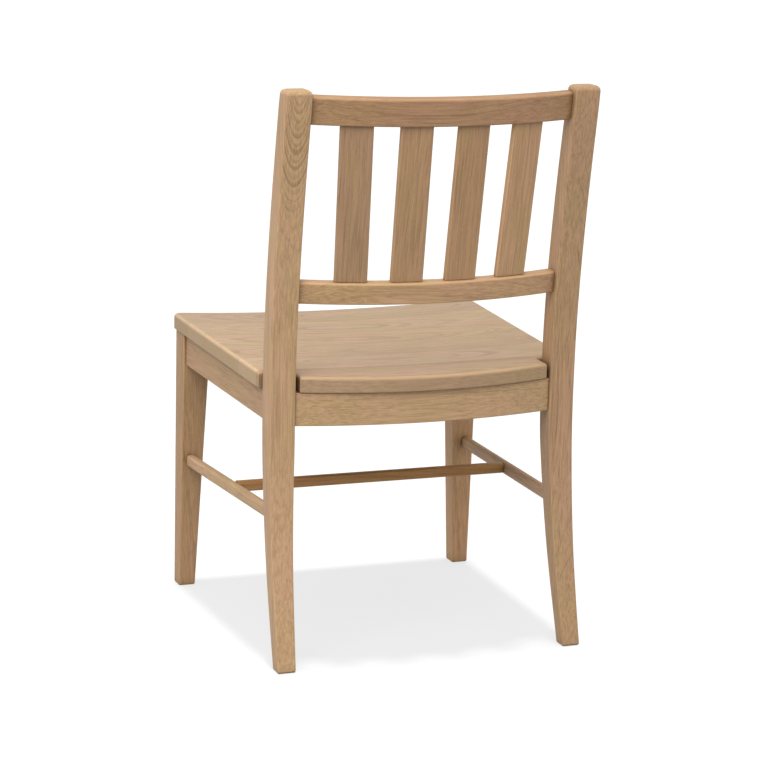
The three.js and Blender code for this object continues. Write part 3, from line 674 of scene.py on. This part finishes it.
def seat_staves():
    """Cuts the panel at the CAD's glue lines into one piece per stave."""
    panel = seat_panel()
    for n, name in enumerate(STAVES):
        low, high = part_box(name)
        shell = bmesh.new()
        shell.from_mesh(panel)
        for y, normal, has_edge in ((low.y, Y, n > 0), (high.y, -Y, n < len(STAVES) - 1)):
            if not has_edge:
                continue
            parts = shell.verts[:] + shell.edges[:] + shell.faces[:]
            cut = bmesh.ops.bisect_plane(shell, geom=parts, dist=TOLERANCE, plane_co=Vector((0, y, 0)),
                                         plane_no=normal, clear_inner=True)
            rim = [e for e in cut["geom_cut"] if isinstance(e, bmesh.types.BMEdge)]
            bmesh.ops.holes_fill(shell, edges=rim, sides=0)
        bmesh.ops.recalc_face_normals(shell, faces=shell.faces)
        mesh = bpy.data.meshes.new(name)
        shell.to_mesh(mesh)
        shell.free()
        oak = wood("stave_%d" % (n + 1), *toned(name, STAVE_DARK), grain=X,
                   pith=(0.3 * (n % 3 - 1), (low.y + high.y) / 2 + 0.01 * (n % 2), 0.36 - 0.012 * (n % 3)),
                   lean=(0.01 * (n % 3 - 1), 0.02), rings=260.0, figure=0.75, streaks=0.5, edge=0.65)
        piece_from(name, mesh, oak, [name])
    bpy.data.meshes.remove(panel)


seat_staves()


# ---------------------------------------------------------------- blocks and screws

PINE = ((0.46, 0.335, 0.215), (0.31, 0.215, 0.13))
BLOCK_EDGE = 0.8 * MM

for corner, end in (("front", -1), ("rear", 1)):
    for side, sign in (("left", 1), ("right", -1)):
        name = "%s_corner_block_%s" % (corner, side)
        low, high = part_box(name)
        grain = Vector((1, -sign * end, 0)).normalized()
        pine = wood("block_" + name, *PINE, grain=grain,
                    pith=(low.x + 0.02, low.y - 0.03, low.z - 0.02), rings=300.0, edge=0)
        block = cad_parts[name]
        block.data.materials.clear()
        block.data.materials.append(pine)
        soft = block.modifiers.new("eased edges", "BEVEL")
        soft.width = BLOCK_EDGE
        soft.segments = 2
        soft.limit_method = "ANGLE"
        soft.angle_limit = math.radians(60)


def zinc():
    """Bright zinc with a faint cloudy tarnish."""
    material = bpy.data.materials.new("zinc")
    material.use_nodes = True
    g = Graph(material.node_tree)
    shader = material.node_tree.nodes["Principled BSDF"]
    tarnish = g.noise(g.node("ShaderNodeTexCoord").outputs["Object"], (900, 900, 900), 3.0)
    g.feed(shader.inputs["Base Color"], g.mix(tarnish, (0.62, 0.61, 0.58, 1), (0.45, 0.45, 0.44, 1)))
    g.feed(shader.inputs["Roughness"], g.ramp(tarnish, 0.2, 0.8, 0.28, 0.5))
    shader.inputs["Metallic"].default_value = 1.0
    return material


steel = zinc()
for name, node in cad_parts.items():
    if "screw" in name:
        node.data.materials.clear()
        node.data.materials.append(steel)


# ---------------------------------------------------------------- floor, light and camera

bpy.context.scene.view_settings.view_transform = "Standard"

FLOOR_REACH = 60
FLOOR_COLOUR = (0.10, 0.101, 0.102, 1)
FLOOR_GLOW = 0.735
SKY_STRENGTH = (0.25, 1.2)             # straight down and straight up
OVERHEAD_POWER = 8
LIT_POINT = Vector((0, 0, 0.45))       # what the softbox faces, in the middle of the chair


def lay_floor():
    """A pale floor that glows, so that it is near white and takes a soft shadow."""
    mesh = bpy.data.meshes.new("floor")
    corners = [(x * FLOOR_REACH, y * FLOOR_REACH, 0) for x, y in ((-1, -1), (1, -1), (1, 1), (-1, 1))]
    mesh.from_pydata(corners, [], [(0, 1, 2, 3)])
    made = bpy.data.objects.new("floor", mesh)
    bpy.context.scene.collection.objects.link(made)
    pale = bpy.data.materials.new("pale_floor")
    pale.use_nodes = True
    shader = pale.node_tree.nodes["Principled BSDF"]
    shader.inputs["Base Color"].default_value = FLOOR_COLOUR
    shader.inputs["Roughness"].default_value = 0.9
    shader.inputs["Specular IOR Level"].default_value = 0.0
    shader.inputs["Emission Color"].default_value = (1, 1, 1, 1)
    shader.inputs["Emission Strength"].default_value = FLOOR_GLOW
    mesh.materials.append(pale)
    made.visible_diffuse = False       # the floor's bounce is in the world's lower half
    return made


def studio_world():
    """A white world, brighter above than below."""
    world = bpy.data.worlds.new("studio")
    world.use_nodes = True
    g = Graph(world.node_tree)
    way = g.node("ShaderNodeSeparateXYZ")
    g.feed(way.inputs[0], g.node("ShaderNodeTexCoord").outputs["Generated"])
    background = world.node_tree.nodes["Background"]
    background.inputs["Color"].default_value = (1, 1, 1, 1)
    g.feed(background.inputs["Strength"], g.ramp(way.outputs["Z"], -1.0, 1.0, *SKY_STRENGTH))
    return world


def softbox(name, azimuth, elevation, distance, size, power):
    """A square light round the chair; azimuth 0 stands in front of it and 90 at the sitter's left."""
    light = bpy.data.lights.new(name, "AREA")
    light.size = size
    light.energy = power
    lamp = bpy.data.objects.new(name, light)
    bpy.context.scene.collection.objects.link(lamp)
    a, e = math.radians(azimuth), math.radians(elevation)
    back = Vector((math.sin(a) * math.cos(e), -math.cos(a) * math.cos(e), math.sin(e)))
    lamp.location = LIT_POINT + back * distance
    lamp.rotation_mode = "QUATERNION"
    lamp.rotation_quaternion = back.to_track_quat("Z", "Y")


def overhead_light(floor):
    """A sun straight above that reaches the floor only, for the chair's soft shadow."""
    light = bpy.data.lights.new("overhead", "SUN")
    light.energy = OVERHEAD_POWER
    light.angle = math.radians(5)
    lamp = bpy.data.objects.new("overhead", light)
    bpy.context.scene.collection.objects.link(lamp)
    lit = bpy.data.collections.new("lit by overhead")
    lit.objects.link(floor)
    lamp.light_linking.receiver_collection = lit


bpy.context.scene.world = studio_world()
softbox("key", azimuth=138, elevation=45, distance=3.0, size=1.8, power=50)
overhead_light(lay_floor())

CAMERA_AZIMUTH = math.radians(158.80)
CAMERA_ELEVATION = math.radians(12.40)
CAMERA_ROLL = math.radians(1.43)
CAMERA_PLACE = Vector((1.4852, 3.8493, 1.2862))
CAMERA_LENS, CAMERA_FILM = 124.66, 36  # millimetres


def photo_camera():
    """A camera behind the chair and to its left, where the photo was taken from."""
    lens = bpy.data.cameras.new("camera")
    lens.sensor_width = CAMERA_FILM
    lens.lens = CAMERA_LENS
    camera = bpy.data.objects.new("camera", lens)
    bpy.context.scene.collection.objects.link(camera)
    back = Vector((math.sin(CAMERA_AZIMUTH) * math.cos(CAMERA_ELEVATION),
                   -math.cos(CAMERA_AZIMUTH) * math.cos(CAMERA_ELEVATION), math.sin(CAMERA_ELEVATION)))
    level = Z.cross(back).normalized()
    right = level * math.cos(CAMERA_ROLL) + back.cross(level) * math.sin(CAMERA_ROLL)
    turn = Matrix((right, back.cross(right), back)).transposed().to_quaternion()
    camera.matrix_world = Matrix.LocRotScale(CAMERA_PLACE, turn, None)
    return camera


bpy.context.scene.camera = photo_camera()

bpy.context.view_layer.update()
